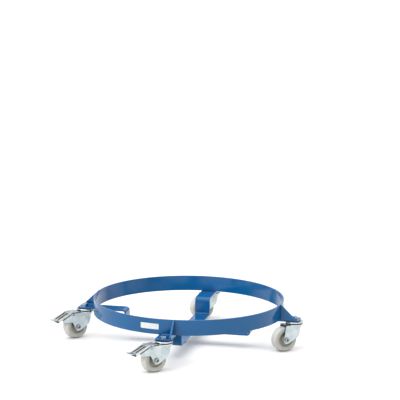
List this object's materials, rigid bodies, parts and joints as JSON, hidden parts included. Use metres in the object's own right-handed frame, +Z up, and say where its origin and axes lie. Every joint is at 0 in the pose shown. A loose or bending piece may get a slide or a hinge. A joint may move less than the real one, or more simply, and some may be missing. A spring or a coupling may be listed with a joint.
{
  "type": "drum trolley",
  "caption": "Low ring-shaped drum trolley on crossed, cranked flat bars, with swivel castors, some braked, for rolling a standing drum.",
  "frame": {"origin": "on the ring's axis in the plane of the bar tops, where a drum stands in the ring", "axes": "+Z up along the ring's axis, +X along the right arm, -Y along the front arm with the braked castor; the left castor is braked too"},
  "size_m": [0.8269, 0.833, 0.152],
  "materials": {
    "blue_paint": "glossy blue powder coat",
    "zinc_sheet": "bright zinc plate",
    "bolt_zinc": "zinc-plated fasteners",
    "ball_steel": "polished balls",
    "polyamide": "natural off-white polyamide",
    "brake_rubber": "black rubber",
    "label_film": "blank white film"
  },
  "bodies": {
    "frame": {"ring_band": "blue_paint", "bar_front_rear": "blue_paint", "bar_left": "blue_paint", "bar_right": "blue_paint", "frame_welds": "blue_paint", "label_plate": "label_film", "castor_washers": "bolt_zinc", "gusset_right": "blue_paint", "right_castor_head": "zinc_sheet", "right_king_pin": "zinc_sheet", "right_castor_bolt": "bolt_zinc", "right_castor_nut": "bolt_zinc", "gusset_rear": "blue_paint", "rear_castor_head": "zinc_sheet", "rear_king_pin": "zinc_sheet", "rear_castor_bolt": "bolt_zinc", "rear_castor_nut": "bolt_zinc", "gusset_left": "blue_paint", "left_castor_head": "zinc_sheet", "left_king_pin": "zinc_sheet", "left_castor_bolt": "bolt_zinc", "left_castor_nut": "bolt_zinc", "gusset_front": "blue_paint", "front_castor_head": "zinc_sheet", "front_king_pin": "zinc_sheet", "front_castor_bolt": "bolt_zinc", "front_castor_nut": "bolt_zinc"},
    "right_swivel": {"right_fork": "zinc_sheet", "right_swivel_balls": "ball_steel", "right_axle_tube": "zinc_sheet", "right_axle_bolt": "zinc_sheet", "right_axle_nut": "zinc_sheet"},
    "right_roller": {"right_wheel": "polyamide"},
    "rear_swivel": {"rear_fork": "zinc_sheet", "rear_swivel_balls": "ball_steel", "rear_axle_tube": "zinc_sheet", "rear_axle_bolt": "zinc_sheet", "rear_axle_nut": "zinc_sheet"},
    "rear_roller": {"rear_wheel": "polyamide"},
    "left_swivel": {"left_fork": "zinc_sheet", "left_swivel_balls": "ball_steel", "left_axle_tube": "zinc_sheet", "left_axle_bolt": "zinc_sheet", "left_axle_nut": "zinc_sheet", "left_pedal_pin": "zinc_sheet"},
    "left_roller": {"left_wheel": "polyamide"},
    "left_brake": {"left_brake_pedal": "zinc_sheet", "left_brake_block": "brake_rubber"},
    "front_swivel": {"front_fork": "zinc_sheet", "front_swivel_balls": "ball_steel", "front_axle_tube": "zinc_sheet", "front_axle_bolt": "zinc_sheet", "front_axle_nut": "zinc_sheet", "front_pedal_pin": "zinc_sheet"},
    "front_roller": {"front_wheel": "polyamide"},
    "front_brake": {"front_brake_pedal": "zinc_sheet", "front_brake_block": "brake_rubber"}
  },
  "joints": [
    {"name": "right_castor_swivel", "type": "hinge", "parent": "frame", "child": "right_swivel", "pos_m": [0.35, 0, -0.102], "axis": [0, 0, 1], "continuous": true},
    {"name": "right_wheel_spin", "type": "hinge", "parent": "right_swivel", "child": "right_roller", "pos_m": [0.32089, -0.02443, -0.062], "axis": [0.6428, -0.766, 0], "continuous": true},
    {"name": "rear_castor_swivel", "type": "hinge", "parent": "frame", "child": "rear_swivel", "pos_m": [0, 0.35, -0.102], "axis": [0, 0, 1], "continuous": true},
    {"name": "rear_wheel_spin", "type": "hinge", "parent": "rear_swivel", "child": "rear_roller", "pos_m": [-0.02911, 0.32557, -0.062], "axis": [0.6428, -0.766, 0], "continuous": true},
    {"name": "left_castor_swivel", "type": "hinge", "parent": "frame", "child": "left_swivel", "pos_m": [-0.35, 0, -0.102], "axis": [0, 0, 1], "continuous": true},
    {"name": "left_wheel_spin", "type": "hinge", "parent": "left_swivel", "child": "left_roller", "pos_m": [-0.37543, -0.02824, -0.062], "axis": [0.7431, -0.6691, 0], "continuous": true},
    {"name": "left_pedal_hinge", "type": "hinge", "parent": "left_swivel", "child": "left_brake", "pos_m": [-0.38747, -0.04162, -0.0195], "axis": [0.7431, -0.6691, 0], "range_deg": [0, 12]},
    {"name": "front_castor_swivel", "type": "hinge", "parent": "frame", "child": "front_swivel", "pos_m": [0, -0.35, -0.102], "axis": [0, 0, 1], "continuous": true},
    {"name": "front_wheel_spin", "type": "hinge", "parent": "front_swivel", "child": "front_roller", "pos_m": [-0.0264, -0.37733, -0.062], "axis": [0.7193, -0.6947, 0], "continuous": true},
    {"name": "front_pedal_hinge", "type": "hinge", "parent": "front_swivel", "child": "front_brake", "pos_m": [-0.0389, -0.39028, -0.0195], "axis": [0.7193, -0.6947, 0], "range_deg": [0, 12]}
  ]
}
